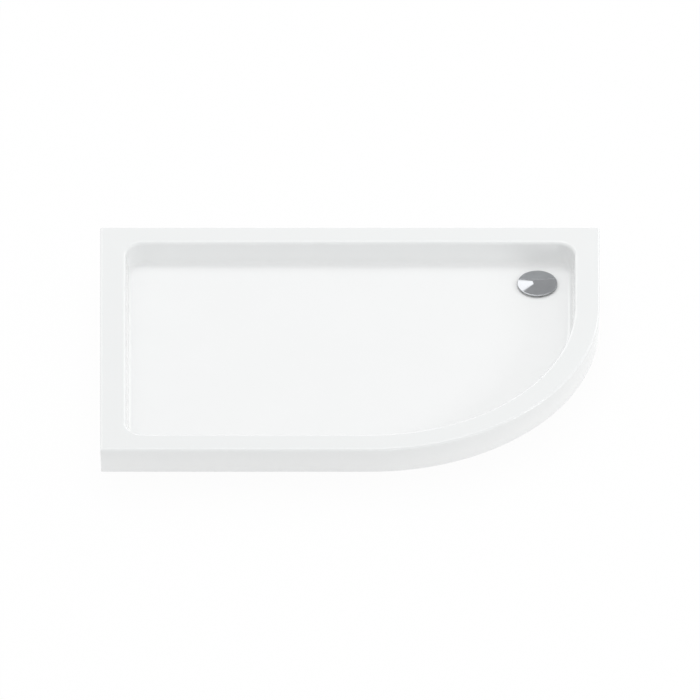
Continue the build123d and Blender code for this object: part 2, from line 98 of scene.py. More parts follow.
def surfaceObject(name, vertices, faces, sharpAngle):
    mesh = bpy.data.meshes.new(name)
    mesh.from_pydata([Vector(v) * mm for v in vertices], [], faces)
    work = bmesh.new()
    work.from_mesh(mesh)
    bmesh.ops.remove_doubles(work, verts=work.verts, dist=weldGap * mm)
    bmesh.ops.recalc_face_normals(work, faces=work.faces)
    work.to_mesh(mesh)
    work.free()
    mesh.shade_smooth()
    mesh.set_sharp_from_angle(angle=math.radians(sharpAngle))
    obj = bpy.data.objects.new(name, mesh)
    bpy.context.scene.collection.objects.link(obj)
    weighting = obj.modifiers.new("faceWeights", "WEIGHTED_NORMAL")    # keeps flats flat beside fillets
    weighting.keep_sharp = True
    return obj


def ringFaces(ringCount, ringSize, closed):
    faces = []
    last = ringCount if closed else ringCount - 1
    for ring in range(last):
        here = ring * ringSize
        after = (ring + 1) % ringCount * ringSize
        for k in range(ringSize):
            k2 = (k + 1) % ringSize
            faces.append((here + k, here + k2, after + k2, after + k))
    return faces


def joinRings(vertices, faces, rings, ringSize, ends):
    # Adds a stack of rings to a mesh. Its ends are capped, left open or joined to each other.
    start = len(vertices)
    count = len(rings) // ringSize
    vertices += rings
    added = ringFaces(count, ringSize, ends == "joined")
    if ends == "capped":
        last = (count - 1) * ringSize
        added += [tuple(range(ringSize))[::-1], tuple(range(last, last + ringSize))]
    faces += [tuple(start + k for k in face) for face in added]


def turned(profile, centre, segments):
    vertices = []
    for radius, level in profile:
        for k in range(segments):
            angle = 2 * math.pi * k / segments
            x, y = centre[0] + radius * math.cos(angle), centre[1] + radius * math.sin(angle)
            vertices.append((x, y, level))
    return vertices


def arc(centre, radius, start, end, steps):
    angles = [math.radians(start + (end - start) * k / steps) for k in range(steps + 1)]
    return [(centre[0] + radius * math.cos(a), centre[1] + radius * math.sin(a)) for a in angles]


# The tray: one sheet of acrylic, drawn down over a mould, so that every edge of it is rounded
tray = {
    "length": 1200, "width": 850, "curveRadius": 550, "outerCorner": 4, "leastCorner": 0.02,
    "rimLevel": 145.32, "skirtDepth": 70, "skirtDraft": 2, "rimEdge": 6, "trimmedEdge": 0.4,
    "wallInset": 60, "basinDepth": 61, "wallDraft": 8, "basinCorner": 45, "lip": 8, "cove": 10,
    "sheet": 4, "undersideEdge": 2, "fallRight": 0.0028, "fallBack": 0.0020,
    "drain": (450, 278), "drainLevel": 84.32, "dish": 68, "dishDepth": 0.8,
    "recess": 45, "recessEdge": 0.5, "recessLead": 1.5, "recessRise": 0.05,
    "seatTop": 79.52, "seatBottom": 75.52, "seat": 50, "hole": 31,
    "filletSteps": 8, "edgeSteps": 3, "floorRings": 7, "stationInset": 77, "sharpAngle": 35,
}
# Steps along each straight side, spread evenly as the drain sees them so that the dish comes out
# round, and round the corner that follows it
sideSteps = {"front": 16, "right": 52, "back": 72, "left": 22}
cornerSteps = {"curve": 96, "backRight": 12, "backLeft": 12, "frontLeft": 12}


def floorLevel(x, y):
    fall = tray["fallRight"] * (tray["drain"][0] - x) + tray["fallBack"] * (tray["drain"][1] - y)
    return tray["drainLevel"] + fall


def outlinePoint(station, inset):
    side, t = station
    corner = max(tray["outerCorner"] - inset, tray["leastCorner"])
    if inset > tray["basinCorner"]:
        corner = tray["wallInset"] + tray["basinCorner"] - inset
    left, right = inset - tray["length"] / 2, tray["length"] / 2 - inset
    front, back = inset - tray["width"] / 2, tray["width"] / 2 - inset
    curveX = tray["length"] / 2 - tray["curveRadius"]
    curveY = tray["curveRadius"] - tray["width"] / 2
    lines = {
        "front": ((left + corner, front), (curveX, front)),
        "right": ((right, curveY), (right, back - corner)),
        "back": ((right - corner, back), (left + corner, back)),
        "left": ((left, back - corner), (left, front + corner)),
    }
    if side in lines:
        (x0, y0), (x1, y1) = lines[side]
        return x0 + (x1 - x0) * t, y0 + (y1 - y0) * t
    arcs = {
        "curve": (curveX, curveY, tray["curveRadius"] - inset, -90),
        "backRight": (right - corner, back - corner, corner, 0),
        "backLeft": (left + corner, back - corner, corner, 90),
        "frontLeft": (left + corner, front + corner, corner, 180),
    }
    x, y, radius, start = arcs[side]
    angle = math.radians(start + 90 * t)
    return x + radius * math.cos(angle), y + radius * math.sin(angle)


def sideStations(side, steps, inset):
    ends = [Vector(outlinePoint((side, t), inset)) - Vector(tray["drain"]) for t in (0, 1)]
    turn = ends[0].angle_signed(ends[1])
    along = ends[1] - ends[0]
    stations = []
    for k in range(steps):
        angle = -turn * k / steps
        ray = Vector((ends[0].x * math.cos(angle) - ends[0].y * math.sin(angle),
                      ends[0].x * math.sin(angle) + ends[0].y * math.cos(angle)))
        stations.append((side, -ends[0].cross(ray) / along.cross(ray)))
    return stations


def basinProfile(floor, growth, lip, cove):
    lean = math.radians(tray["wallDraft"])
    rim = tray["rimLevel"] - growth

    def wallInset(level):
        return tray["wallInset"] - growth + (tray["basinDepth"] - level + floor) * math.tan(lean)

    lipLevel = rim - lip
    coveLevel = floor - growth + cove
    steps = tray["filletSteps"]
    top = arc((wallInset(lipLevel) - lip / math.cos(lean), lipLevel), lip, 90, tray["wallDraft"], steps)
    foot = arc((wallInset(coveLevel) + cove / math.cos(lean), coveLevel), cove,
               180 + tray["wallDraft"], 270, steps)
    return top + foot


def skirtProfile(growth, edge):
    lean = math.radians(tray["skirtDraft"])
    lead = tray["rimEdge"] * math.tan(math.radians(90 - tray["skirtDraft"]) / 2) * math.sin(lean)
    rim = tray["rimLevel"] - growth

    def skirtInset(level):
        return growth - lead + (rim - level) * math.tan(lean)

    edgeLevel = rim - edge
    bottom = tray["rimLevel"] - tray["skirtDepth"]
    trim, steps = tray["trimmedEdge"], tray["edgeSteps"]
    if growth:
        foot = arc((skirtInset(bottom) - trim, bottom + trim), trim, 270, 360, steps)
    else:
        foot = arc((skirtInset(bottom) + trim, bottom + trim), trim, 270, 180, steps)
    edgeArc = arc((skirtInset(edgeLevel) + edge / math.cos(lean), edgeLevel), edge,
                  180 + tray["skirtDraft"], 90, tray["filletSteps"])
    return foot + edgeArc


stations = []
for (side, steps), (corner, cornerCount) in zip(sideSteps.items(), cornerSteps.items()):
    stations += sideStations(side, steps, tray["stationInset"])
    stations += [(corner, k / cornerCount) for k in range(cornerCount)]


def trayColumn(station):
    # One section through the sheet, from the hole out over the rim and back underneath
    drain = Vector(tray["drain"])
    near = outlinePoint(station, tray["wallInset"])
    floor = floorLevel(*near)
    upper = skirtProfile(0, tray["rimEdge"]) + basinProfile(floor, 0, tray["lip"], tray["cove"])
    lower = skirtProfile(tray["sheet"], tray["undersideEdge"])
    lower += basinProfile(floor, tray["sheet"], tray["lip"] - tray["sheet"], tray["cove"] + tray["sheet"])
    upper = [(*outlinePoint(station, inset), level) for inset, level in upper]
    lower = [(*outlinePoint(station, inset), level) for inset, level in lower]
    outward = (Vector(upper[-1][:2]) - drain).normalized()

    def aroundDrain(radius, level):
        spot = drain + outward * radius
        return spot.x, spot.y, level

    def floorRings(start, radius, drop):
        rim = drain + outward * radius
        rings = []
        for k in range(1, tray["floorRings"] + 1):
            spot = Vector(start[:2]).lerp(rim, k / tray["floorRings"])
            rings.append((spot.x, spot.y, floorLevel(spot.x, spot.y) - drop))
        return rings

    dishBottom = tray["drainLevel"] - tray["dishDepth"]
    edge = tray["recessEdge"]
    top = upper + floorRings(upper[-1], tray["dish"], 0)
    top.append(aroundDrain(tray["recess"] + tray["recessLead"], dishBottom + tray["recessRise"]))
    recessArc = arc((tray["recess"] + edge, dishBottom - edge), edge, 90, 180, tray["edgeSteps"])
    top += [aroundDrain(radius, level) for radius, level in recessArc]
    top += [aroundDrain(tray["recess"], tray["seatTop"]), aroundDrain(tray["hole"], tray["seatTop"])]
    under = lower + floorRings(lower[-1], tray["seat"], tray["sheet"])
    under += [aroundDrain(tray["seat"], tray["seatBottom"]), aroundDrain(tray["hole"], tray["seatBottom"])]
    return top[::-1] + under


columns = [trayColumn(station) for station in stations]
trayRings = [column[ring] for ring in range(len(columns[0])) for column in columns]
shellFaces = ringFaces(len(columns[0]), len(stations), True)
shell = surfaceObject("shellSheet", trayRings, shellFaces, tray["sharpAngle"])
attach(shell, "tray")
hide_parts("acrylic_shell")
print("stage: tray sheet made,", len(shell.data.polygons), "faces")


# The drain cover: a spun and plated cone on three pegs, with its spigot
cover = {
    "centre": tray["drain"], "radius": 48, "bottom": 88.32, "shoulder": 90.52, "apex": 95.12,
    "edge": 1.4, "edgeReach": 2, "lowerEdge": 0.3, "thickness": 1.6, "innerEdge": 0.2, "innerDrop": 0.1,
    "apexRound": 12, "axisGap": 0.05, "domeSteps": 8, "coneSteps": 6, "edgeSteps": 6, "lowerSteps": 2,
    "pegs": 3, "pegCircle": 38, "pegRadius": 2.5, "pegBottom": 83.52, "pegSink": 1, "pegSteps": 3,
    "spigotRadius": 8, "spigotWall": 1.6, "spigotBottom": 67.02, "spigotSink": 1, "tipEdge": 0.5,
    "segments": 144, "pegSegments": 32, "spigotSegments": 48, "sharpAngle": 40,
}
coneSlope = math.degrees(math.atan2(cover["apex"] - cover["shoulder"], cover["radius"]))
coneRise = math.tan(math.radians(coneSlope))
edgeCentre = (cover["radius"] - cover["edge"],
              cover["shoulder"] - cover["edge"] * math.tan(math.radians(45 - coneSlope / 2)))
domeTop = cover["apex"] - coneRise * cover["apexRound"] / 2    # the cone's point is rounded off into a dome
domeSteps, coneSteps = cover["domeSteps"], cover["coneSteps"]
domeRadii = [cover["axisGap"]] + [cover["apexRound"] * k / domeSteps for k in range(1, domeSteps)]
coverProfile = [(r, domeTop - coneRise * r * r / (2 * cover["apexRound"])) for r in domeRadii]
coneWidth = cover["radius"] - cover["edgeReach"] - cover["apexRound"]
coneRadii = [cover["apexRound"] + k * coneWidth / coneSteps for k in range(coneSteps + 1)]
coverProfile += [(r, cover["shoulder"] + (cover["radius"] - r) * coneRise) for r in coneRadii]
coverProfile += arc(edgeCentre, cover["edge"], 90 - coneSlope, 0, cover["edgeSteps"])
lower, chamfer, inner = cover["lowerEdge"], cover["innerEdge"], cover["radius"] - cover["thickness"]
coverProfile += arc((cover["radius"] - lower, cover["bottom"] + lower), lower, 0, -90, cover["lowerSteps"])
coverProfile += [(inner + chamfer, cover["bottom"]), (inner, cover["bottom"] + chamfer),
                 (inner, cover["shoulder"] - cover["thickness"]),
                 (cover["axisGap"], cover["apex"] - cover["thickness"] - cover["innerDrop"])]
coverVertices, coverFaces = [], []
coverRings = turned(coverProfile, cover["centre"], cover["segments"])
joinRings(coverVertices, coverFaces, coverRings, cover["segments"], "capped")

tip = cover["tipEdge"]
pegProfile = [(cover["pegRadius"], cover["shoulder"] - cover["pegSink"])]
pegProfile += arc((cover["pegRadius"] - tip, cover["pegBottom"] + tip), tip, 0, -90, cover["pegSteps"])
for pegSpot in turned([(cover["pegCircle"], 0)], cover["centre"], cover["pegs"]):
    pegRings = turned(pegProfile, pegSpot, cover["pegSegments"])
    joinRings(coverVertices, coverFaces, pegRings, cover["pegSegments"], "capped")
spigotInner = cover["spigotRadius"] - cover["spigotWall"]
spigotTop = cover["apex"] - cover["thickness"] - cover["spigotSink"]
spigotProfile = [(cover["spigotRadius"], spigotTop), (cover["spigotRadius"], cover["spigotBottom"] + tip),
                 (cover["spigotRadius"] - tip, cover["spigotBottom"]),
                 (spigotInner, cover["spigotBottom"]), (spigotInner, spigotTop)]
spigotRings = turned(spigotProfile, cover["centre"], cover["spigotSegments"])
joinRings(coverVertices, coverFaces, spigotRings, cover["spigotSegments"], "joined")
coverDisc = surfaceObject("coverDisc", coverVertices, coverFaces, cover["sharpAngle"])
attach(coverDisc, "drain_cover")
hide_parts("drain_cover")
print("stage: drain cover made")


# The feet's studs: ball, neck, spanner hexagon and a rolled thread
stud = {
    "ballRadius": 6, "ballLevel": 8, "ballFrom": -89.5, "ballTo": 42, "ballSteps": 14,
    "neckRadius": 4.4, "neckRise": 0.3, "neckSink": 0.1, "segments": 40,
    "hexBottom": 14, "hexTop": 20, "hexFlats": 17, "hexChamfer": 1, "hexSegments": 72,
    "chamferStart": 0.01, "chamferSpread": 0.001,
    "threadRadius": 6, "threadRoot": 4.93, "pitch": 1.75, "threadForm": (0.0, 0.22, 0.44, 0.58, 0.80),
    "threadSink": 0.2, "top": 74, "tipChamfer": 1, "sharpAngle": 28,
}
footSpots = ["front_left", "front_middle", "front_right", "right_front",
             "right_back", "back_right", "back_middle", "back_left"]


def threadVertices():
    # Rows follow the helix: root flat, rising flank, crest flat, falling flank in every pitch
    root, crest = stud["threadRoot"], stud["threadRadius"]
    rows = list(zip(stud["threadForm"], (root, root, crest, crest, root)))
    turns = int((stud["top"] - stud["hexTop"]) / stud["pitch"]) + 2
    made = []
    for turn in range(-1, turns):
        for part, radius in rows:
            for k in range(stud["segments"] + 1):
                rise = stud["pitch"] * (turn + part + k / stud["segments"])
                level = min(max(stud["hexTop"] + rise, stud["hexTop"] - stud["threadSink"]), stud["top"])
                spare = stud["top"] - level
                limit = crest - max(stud["tipChamfer"] - spare, 0)
                angle = 2 * math.pi * k / stud["segments"]
                r = min(radius, limit)
                made.append((r * math.cos(angle), r * math.sin(angle), level))
    return made


def hexagonVertices():
    flat = stud["hexFlats"] / 2
    corner = flat / math.cos(math.radians(30))
    low, high, chamfer = stud["hexBottom"], stud["hexTop"], stud["hexChamfer"]
    first, firstSpread = stud["chamferStart"], stud["chamferSpread"]
    levels = [(low, 0.0), (low + first, firstSpread), (low + chamfer, 1.0),
              (high - chamfer, 1.0), (high - first, firstSpread), (high, 0.0)]
    made = []
    for level, spread in levels:
        for k in range(stud["hexSegments"]):
            angle = 360 * k / stud["hexSegments"]
            reach = flat / math.cos(math.radians((angle + 30) % 60 - 30))
            reach = min(reach, flat + (corner - flat) * spread)
            bearing = math.radians(angle)
            made.append((reach * math.cos(bearing), reach * math.sin(bearing), level))
    return made


def studMesh():
    size = stud["segments"] + 1
    vertices = threadVertices()
    faces = []
    for row in range(len(vertices) // size - 1):
        for a in range(row * size, row * size + size - 1):
            faces.append((a, a + 1, a + 1 + size, a + size))
    last = len(vertices) - size
    faces.append(tuple(range(last, last + stud["segments"])))
    neckProfile = arc((0, stud["ballLevel"]), stud["ballRadius"],
                      stud["ballFrom"], stud["ballTo"], stud["ballSteps"])
    neckProfile += [(stud["neckRadius"], neckProfile[-1][1] + stud["neckRise"]),
                    (stud["neckRadius"], stud["hexBottom"] + stud["neckSink"])]
    joinRings(vertices, faces, turned(neckProfile, (0, 0), stud["segments"]), stud["segments"], "open")
    joinRings(vertices, faces, hexagonVertices(), stud["hexSegments"], "capped")
    return vertices, faces


studVertices, studFaces = studMesh()
studs = []
for spot in footSpots:
    low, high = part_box(f"foot_stud_{spot}")
    piece = surfaceObject(f"threadedStud_{spot}", studVertices, studFaces, stud["sharpAngle"])
    piece.location = ((low[0] + high[0]) / 2, (low[1] + high[1]) / 2, 0)
    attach(piece, f"stud_{spot}")
    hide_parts(f"foot_stud_{spot}")
    studs.append(piece)
print("stage: threaded studs made,", len(studs))


# Acrylic, cast and then vacuum formed over a mould: hard gloss over a shape that wavers very slightly,
# so reflections bend a little. Low parts are painted a touch whiter than the rim: painted light.
acrylicFinishAndPaintedLight = {
    # The floor colours are painted lighter than the rim colours: painted light, not a property of the sheet.
    "rim": "#eff1f1", "rimMottle": "#f1f2f2", "floor": "#f4f5f5", "floorMottle": "#f6f7f7",
    "floorMargin": 2, "rimMargin": 3, "mottleSize": 140, "waveSize": 170, "waveDepth": 0.03,
    "peelSize": 5, "peelDepth": 0.0006, "smearSize": 60, "roughLow": 0.10, "roughHigh": 0.17, "ior": 1.49,
}


def formedAcrylic():
    look = acrylicFinishAndPaintedLight
    material, tree, place = startMaterial("vacuumFormedAcrylic")
    height = addNode(tree, "ShaderNodeSeparateXYZ", inputs={"Vector": place}).outputs["Z"]
    # Painted light: the colour runs from whiter at the basin floor's height to greyer at the rim's height,
    # standing in for the brighter floor.
    paintedLightByHeight = addNode(tree, "ShaderNodeMapRange", {"interpolation_type": "SMOOTHSTEP"}, {
        "Value": height, "From Min": (tray["drainLevel"] + look["floorMargin"]) * mm,
        "From Max": (tray["rimLevel"] - look["rimMargin"]) * mm})
    mottle = addNode(tree, "ShaderNodeTexNoise", inputs={
        "Vector": place, "Scale": perMetre(look["mottleSize"]), "Detail": 3.0})
    mottled = {}
    for part in ("rim", "floor"):
        mottled[part] = addNode(tree, "ShaderNodeMix", {"data_type": "RGBA"}, {
            "Factor": mottle.outputs["Fac"], 6: hexColour(look[part]), 7: hexColour(look[part + "Mottle"])})
    colour = addNode(tree, "ShaderNodeMix", {"data_type": "RGBA"}, {
        "Factor": paintedLightByHeight.outputs["Result"], 6: mottled["floor"].outputs[2], 7: mottled["rim"].outputs[2]})
    smear = addNode(tree, "ShaderNodeTexNoise", inputs={
        "Vector": place, "Scale": perMetre(look["smearSize"]), "Detail": 4.0, "Roughness": 0.6})
    rough = addNode(tree, "ShaderNodeMapRange", inputs={
        "Value": smear.outputs["Fac"], **noiseSpan, "To Min": look["roughLow"], "To Max": look["roughHigh"]})
    wave = addNode(tree, "ShaderNodeTexNoise", inputs={
        "Vector": place, "Scale": perMetre(look["waveSize"]), "Detail": 1.0})
    waveBump = addNode(tree, "ShaderNodeBump", inputs={
        "Height": wave.outputs["Fac"], "Distance": look["waveDepth"] * mm, "Strength": 1.0})
    peel = addNode(tree, "ShaderNodeTexNoise", inputs={
        "Vector": place, "Scale": perMetre(look["peelSize"]), "Detail": 1.0})
    peelBump = addNode(tree, "ShaderNodeBump", inputs={
        "Height": peel.outputs["Fac"], "Distance": look["peelDepth"] * mm, "Strength": 1.0,
        "Normal": waveBump.outputs["Normal"]})
    finishMaterial(tree, {
        "Base Color": colour.outputs[2], "Roughness": rough.outputs["Result"], "IOR": look["ior"],
        "Normal": peelBump.outputs["Normal"]})
    return material


# Chromium plate over turned brass: a cool mirror with the faint rings of its polishing mop,
# which spread a reflection along the turning direction.
chromeFinish = {
    "plate": "#b5b7ba", "plateDark": "#afb1b4", "ringSize": 0.9, "ringDepth": 0.0004,
    "roughLow": 0.03, "roughHigh": 0.06, "cloudSize": 18,
}


def platedChrome():
    look = chromeFinish
    material, tree, place = startMaterial("polishedChromiumPlate")
    axis = (cover["centre"][0] * mm, cover["centre"][1] * mm, 0)
    fromAxis = addNode(tree, "ShaderNodeVectorMath", {"operation": "SUBTRACT"}, {0: place, 1: axis})
    flat = addNode(tree, "ShaderNodeVectorMath", {"operation": "MULTIPLY"}, {
        0: fromAxis.outputs["Vector"], 1: (1, 1, 0)})
    reach = addNode(tree, "ShaderNodeVectorMath", {"operation": "LENGTH"}, {0: flat.outputs["Vector"]})
    rings = addNode(tree, "ShaderNodeTexNoise", {"noise_dimensions": "1D"}, {
        "W": reach.outputs["Value"], "Scale": perMetre(look["ringSize"]), "Detail": 2.0})
    cloud = addNode(tree, "ShaderNodeTexNoise", inputs={
        "Vector": place, "Scale": perMetre(look["cloudSize"]), "Detail": 3.0})
    ramp = addNode(tree, "ShaderNodeValToRGB", inputs={"Fac": cloud.outputs["Fac"]})
    colour = setRamp(ramp, [(0.3, look["plateDark"]), (0.7, look["plate"])])
    rough = addNode(tree, "ShaderNodeMapRange", inputs={
        "Value": rings.outputs["Fac"], **noiseSpan, "To Min": look["roughLow"], "To Max": look["roughHigh"]})
    bump = addNode(tree, "ShaderNodeBump", inputs={
        "Height": rings.outputs["Fac"], "Distance": look["ringDepth"] * mm, "Strength": 0.6})
    finishMaterial(tree, {
        "Base Color": colour, "Metallic": 1.0, "Roughness": rough.outputs["Result"],
        "Normal": bump.outputs["Normal"]})
    return material


# Zinc plate on cold formed steel: a grey, slightly blue-yellow metal with soft blotches from the bath
# and a satin grain, so it catches light broadly and not as a mirror.
zincFinish = {
    "light": "#c3c5c2", "dark": "#9da1a4", "warm": "#c8c2ae", "blotchSize": 5, "grainSize": 0.6,
    "roughLow": 0.28, "roughHigh": 0.48, "grainDepth": 0.01,
}


def platedZinc():
    look = zincFinish
    material, tree, place = startMaterial("zincPlatedSteel")
    blotch = addNode(tree, "ShaderNodeTexNoise", inputs={
        "Vector": place, "Scale": perMetre(look["blotchSize"]), "Detail": 4.0, "Roughness": 0.6})
    ramp = addNode(tree, "ShaderNodeValToRGB", inputs={"Fac": blotch.outputs["Fac"]})
    colour = setRamp(ramp, [(0.3, look["dark"]), (0.5, look["light"]), (0.75, look["warm"])])
    grain = addNode(tree, "ShaderNodeTexNoise", inputs={
        "Vector": place, "Scale": perMetre(look["grainSize"]), "Detail": 2.0})
    rough = addNode(tree, "ShaderNodeMapRange", inputs={
        "Value": blotch.outputs["Fac"], **noiseSpan,
        "To Min": look["roughLow"], "To Max": look["roughHigh"]})
    bump = addNode(tree, "ShaderNodeBump", inputs={
        "Height": grain.outputs["Fac"], "Distance": look["grainDepth"] * mm, "Strength": 0.7})
    finishMaterial(tree, {
        "Base Color": colour, "Metallic": 1.0, "Roughness": rough.outputs["Result"],
        "Normal": bump.outputs["Normal"]})
    return material


# Injection moulded plastics: an even body colour with slight flow marks, a fine spark-eroded mould
# texture that breaks the shine, and a soft satin highlight.
mouldedFinishes = {
    "mouldedPolypropyleneWhite": {
        "body": "#e9eae8", "flow": "#dfe1de", "flowSize": 26, "grainSize": 0.9, "grainDepth": 0.01,
        "roughLow": 0.30, "roughHigh": 0.42, "ior": 1.49},
    "mouldedPolypropyleneGrey": {
        "body": "#9a9ea1", "flow": "#8f9396", "flowSize": 22, "grainSize": 0.9, "grainDepth": 0.012,
        "roughLow": 0.34, "roughHigh": 0.46, "ior": 1.49},
    "mouldedNylonBlack": {
        "body": "#1d1e20", "flow": "#26272a", "flowSize": 18, "grainSize": 0.8, "grainDepth": 0.02,
        "roughLow": 0.36, "roughHigh": 0.52, "ior": 1.53},
    "mouldedNitrileRubber": {
        "body": "#242526", "flow": "#303132", "flowSize": 9, "grainSize": 0.7, "grainDepth": 0.02,
        "roughLow": 0.55, "roughHigh": 0.75, "ior": 1.52},
}


def mouldedPlastic(name):
    look = mouldedFinishes[name]
    material, tree, place = startMaterial(name)
    flow = addNode(tree, "ShaderNodeTexNoise", inputs={
        "Vector": place, "Scale": perMetre(look["flowSize"]), "Detail": 3.0, "Distortion": 0.8})
    ramp = addNode(tree, "ShaderNodeValToRGB", inputs={"Fac": flow.outputs["Fac"]})
    colour = setRamp(ramp, [(0.3, look["flow"]), (0.6, look["body"])])
    grain = addNode(tree, "ShaderNodeTexVoronoi", {"feature": "SMOOTH_F1"}, {
        "Vector": place, "Scale": perMetre(look["grainSize"])})
    rough = addNode(tree, "ShaderNodeMapRange", inputs={
        "Value": flow.outputs["Fac"], **noiseSpan, "To Min": look["roughLow"], "To Max": look["roughHigh"]})
    bump = addNode(tree, "ShaderNodeBump", inputs={
        "Height": grain.outputs["Distance"], "Distance": look["grainDepth"] * mm, "Strength": 0.8})
    finishMaterial(tree, {
        "Base Color": colour, "Roughness": rough.outputs["Result"], "IOR": look["ior"],
        "Normal": bump.outputs["Normal"]})
    return material


# Chopped strand glass and polyester resin, sprayed and rolled: straw-coloured, half clear, with pale
# strands about 50 mm long lying every way under a wet-looking, lumpy skin.
laminateFinish = {
    "resin": "#c9c3a4", "strand": "#e9e6d3", "strandLength": 50, "strandWidth": 1.6, "strandDepth": 0.15,
    "layTilt": (0.3, 0.2), "layTurns": (12, 71, 133), "lumpSize": 7, "lumpDepth": 0.35,
    "roughLow": 0.18, "roughHigh": 0.5, "ior": 1.54,
}


def rolledLaminate():
    look = laminateFinish
    material, tree, place = startMaterial("rolledGlassFibreLaminate")
    strands = None
    for turn in look["layTurns"]:    # three lays of strands stand for every direction
        lay = addNode(tree, "ShaderNodeMapping", inputs={
            "Vector": place, "Rotation": (*look["layTilt"], math.radians(turn))})
        stretch = addNode(tree, "ShaderNodeVectorMath", {"operation": "MULTIPLY"}, {
            0: lay.outputs["Vector"], 1: (look["strandWidth"] / look["strandLength"], 1, 1)})
        fibre = addNode(tree, "ShaderNodeTexNoise", inputs={
            "Vector": stretch.outputs["Vector"], "Scale": perMetre(look["strandWidth"]), "Detail": 1.0})
        if strands is None:
            strands = fibre.outputs["Fac"]
            continue
        over = addNode(tree, "ShaderNodeMath", {"operation": "MAXIMUM"}, {
            0: strands, 1: fibre.outputs["Fac"]})
        strands = over.outputs["Value"]
    ramp = addNode(tree, "ShaderNodeValToRGB", inputs={"Fac": strands})
    colour = setRamp(ramp, [(0.52, look["resin"]), (0.70, look["strand"])])
    lump = addNode(tree, "ShaderNodeTexNoise", inputs={
        "Vector": place, "Scale": perMetre(look["lumpSize"]), "Detail": 2.0})
    rough = addNode(tree, "ShaderNodeMapRange", inputs={
        "Value": strands, "From Min": 0.5, "From Max": 0.75,
        "To Min": look["roughLow"], "To Max": look["roughHigh"]})
    lumpBump = addNode(tree, "ShaderNodeBump", inputs={
        "Height": lump.outputs["Fac"], "Distance": look["lumpDepth"] * mm, "Strength": 1.0})
    strandBump = addNode(tree, "ShaderNodeBump", inputs={
        "Height": strands, "Distance": look["strandDepth"] * mm, "Strength": 1.0,
        "Normal": lumpBump.outputs["Normal"]})
    finishMaterial(tree, {
        "Base Color": colour, "Roughness": rough.outputs["Result"], "IOR": look["ior"],
        "Normal": strandBump.outputs["Normal"]})
    return material


# Chipboard, pressed and sawn: dry wood flakes of several browns lying flat, so the faces show broad
# chips and the sawn edge shows them end-on, as short level dashes.
boardFinish = {
    "dark": "#8a6a43", "middle": "#b8935f", "light": "#d3b483", "chipSize": 6, "chipFlatness": 3,
    "chipShare": 0.5, "dustSize": 0.8, "dustShare": 0.5, "depth": 0.25, "roughLow": 0.7, "roughHigh": 0.9,
}


def sawnChipboard():
    look = boardFinish
    material, tree, place = startMaterial("sawnChipboard")
    flatten = addNode(tree, "ShaderNodeVectorMath", {"operation": "MULTIPLY"}, {
        0: place, 1: (1, 1, look["chipFlatness"])})
    chips = addNode(tree, "ShaderNodeTexVoronoi", {"distance": "CHEBYCHEV"}, {
        "Vector": flatten.outputs["Vector"], "Scale": perMetre(look["chipSize"])})
    tone = addNode(tree, "ShaderNodeSeparateColor", inputs={"Color": chips.outputs["Color"]})
    dust = addNode(tree, "ShaderNodeTexNoise", inputs={
        "Vector": flatten.outputs["Vector"], "Scale": perMetre(look["dustSize"]), "Detail": 3.0})
    chipTone = addNode(tree, "ShaderNodeMath", {"operation": "MULTIPLY"}, {
        0: tone.outputs["Red"], 1: look["chipShare"]})
    blend = addNode(tree, "ShaderNodeMath", {"operation": "MULTIPLY_ADD"}, {
        0: dust.outputs["Fac"], 1: look["dustShare"], 2: chipTone.outputs["Value"]})
    ramp = addNode(tree, "ShaderNodeValToRGB", inputs={"Fac": blend.outputs["Value"]})
    colour = setRamp(ramp, [(0.25, look["dark"]), (0.5, look["middle"]), (0.75, look["light"])])
    rough = addNode(tree, "ShaderNodeMapRange", inputs={
        "Value": dust.outputs["Fac"], "To Min": look["roughLow"], "To Max": look["roughHigh"]})
    bump = addNode(tree, "ShaderNodeBump", inputs={
        "Height": blend.outputs["Value"], "Distance": look["depth"] * mm, "Strength": 0.9})
    finishMaterial(tree, {
        "Base Color": colour, "Roughness": rough.outputs["Result"], "Normal": bump.outputs["Normal"]})
    return material


def paint(obj, material):
    slots = obj.data.materials
    if not slots:
        slots.append(material)
    for place in range(len(slots)):
        slots[place] = material


acrylic = formedAcrylic()
chrome = platedChrome()
zinc = platedZinc()
laminate = rolledLaminate()
chipboard = sawnChipboard()
moulded = {name: mouldedPlastic(name) for name in mouldedFinishes}

paint(shell, acrylic)
paint(coverDisc, chrome)
for piece in studs:
    paint(piece, zinc)
finishedPieces = [
    (acrylic, ["acrylic_shell"]), (laminate, ["fibreglass_backing"]), (chipboard, ["base_board"]),
    (chrome, ["drain_cover"]),
    (zinc, ["socket_screws"] + [f"{kind}_{spot}" for kind in ("lock_nut", "foot_stud")
                                for spot in footSpots]),
    (moulded["mouldedPolypropyleneWhite"], ["waste_flange", "trap_body", "outlet_pipe"]),
    (moulded["mouldedPolypropyleneGrey"], ["dip_insert", "coupling_nut"]),
    (moulded["mouldedNitrileRubber"], ["upper_gasket", "lower_gasket", "insert_seal", "ball_seal"]),
    (moulded["mouldedNylonBlack"], [f"{kind}_{spot}" for kind in ("foot_pad", "foot_socket")
                                    for spot in footSpots]),
]
nodeFinishes = {name: material for material, names in finishedPieces for name in names}
for name, node in cadNodes.items():
    paint(node, nodeFinishes[name])
print("stage: finishes given,", len(nodeFinishes), "nodes")


# A plain pale floor that keeps a faint shadow, and a surround that is white to the eye
studio = {
    "floorSize": 40000, "floorColour": "#f7f7f7", "floorGlow": 0.97, "floorGrain": 40,
    "floorRoughLow": 0.8, "floorRoughHigh": 0.95, "ambient": 0.872, "horizonShare": 0.74,
    "mirrorGrey": 0.60, "mirrorBand": 0.68, "mirrorPanel": 2.1, "panelFromAzimuth": -38.0,
    "greyFromAzimuth": -8.3, "azimuthBlend": 0.7, "bandTop": 35.5, "bandBlend": 3.5, "bandFoot": 26.0,
}
